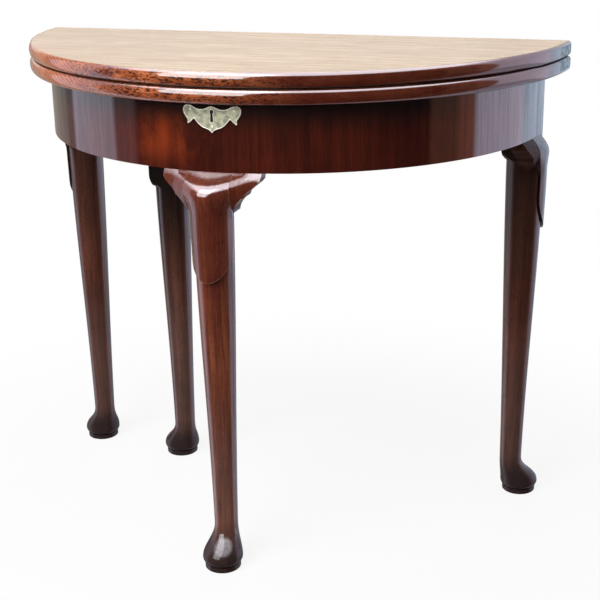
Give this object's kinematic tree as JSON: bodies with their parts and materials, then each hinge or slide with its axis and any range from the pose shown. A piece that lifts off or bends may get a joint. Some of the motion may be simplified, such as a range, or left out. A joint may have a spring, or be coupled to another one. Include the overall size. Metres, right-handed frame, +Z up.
{
  "type": "half-round folding tea table",
  "caption": "Half-round mahogany tea table: folding top, lidded well with lock, round tapering legs on pad feet with lappet knees, one leg swinging on a wooden knuckle joint.",
  "frame": {"origin": "middle of the bounding box in plan, on the floor under the feet", "axes": "X along the straight back edge, to the right as seen from the front; Y from the curved front to the straight back; Z up"},
  "size_m": [0.84, 0.4222, 0.72],
  "materials": {
    "mahogany_top": "polished red-brown mahogany",
    "mahogany_leg": "polished dark mahogany",
    "mahogany_veneer": "polished figured mahogany veneer",
    "oak": "dry unpolished oak",
    "pine": "dry unpolished pine",
    "brass": "dull yellow brass",
    "aged_brass": "pale aged brass",
    "iron": "dark wrought iron"
  },
  "bodies": {
    "frame": {"frieze_core_left": "pine", "frieze_core_centre": "pine", "frieze_core_right": "pine", "frieze_veneer_left": "mahogany_veneer", "frieze_veneer_centre": "mahogany_veneer", "frieze_veneer_right": "mahogany_veneer", "inner_rail": "oak", "fixed_block": "oak", "knuckle_rail": "oak", "knuckle_pin": "iron", "leg_front": "mahogany_leg", "leg_left": "mahogany_leg", "leg_right": "mahogany_leg", "ear_front_left": "mahogany_leg", "ear_front_right": "mahogany_leg", "ear_left_front": "mahogany_leg", "ear_left_back": "mahogany_leg", "ear_right_front": "mahogany_leg", "ear_right_back": "mahogany_leg", "bottom_board": "pine", "glue_block_1": "pine", "glue_block_2": "pine", "glue_block_3": "pine", "glue_block_4": "pine", "escutcheon": "aged_brass", "lock_case": "iron", "lock_cap": "iron", "lid_hinge_fixed_left": "brass", "lid_hinge_fixed_right": "brass", "lid_pin_left": "brass", "lid_pin_right": "brass"},
    "lid": {"lower_leaf": "mahogany_top", "strap_lower_left": "brass", "strap_lower_right": "brass", "link_plate": "brass", "lid_hinge_moving_left": "brass", "lid_hinge_moving_right": "brass"},
    "link_right": {"hinge_link_right": "brass"},
    "link_left": {"hinge_link_left": "brass"},
    "flap": {"upper_leaf": "mahogany_top", "strap_upper_left": "brass", "strap_upper_right": "brass"},
    "gate": {"fly_rail": "oak", "gate_leg": "mahogany_leg"},
    "bolt": {"lock_bolt": "iron"}
  },
  "joints": [
    {"name": "lid_lift", "type": "hinge", "parent": "frame", "child": "lid", "pos_m": [0, 0.19765, 0.675], "axis": [1, 0, 0], "range_deg": [-90, 0]},
    {"name": "link_fold", "type": "hinge", "parent": "lid", "child": "link_right", "pos_m": [0.4156, 0.19265, 0.6935], "axis": [-1, 0, 0], "range_deg": [0, 90]},
    {"name": "leaf_fold", "type": "hinge", "parent": "link_right", "child": "flap", "pos_m": [0.4156, 0.19265, 0.7045], "axis": [-1, 0, 0], "range_deg": [0, 90]},
    {"name": "link_left_fold", "type": "hinge", "parent": "lid", "child": "link_left", "pos_m": [-0.4156, 0.19265, 0.6935], "axis": [-1, 0, 0], "range_deg": [0, 90]},
    {"name": "gate_swing", "type": "hinge", "parent": "frame", "child": "gate", "pos_m": [0.08466, 0.16765, 0.6313], "axis": [0, 0, -1], "range_deg": [0, 90]},
    {"name": "lock_bolt_throw", "type": "slide", "parent": "frame", "child": "bolt", "axis": [1, 0, 0], "range_m": [0, 0.008]}
  ],
  "couplings": [
    {"joint": "link_left_fold", "follows": "link_fold", "ratio": 1}
  ]
}
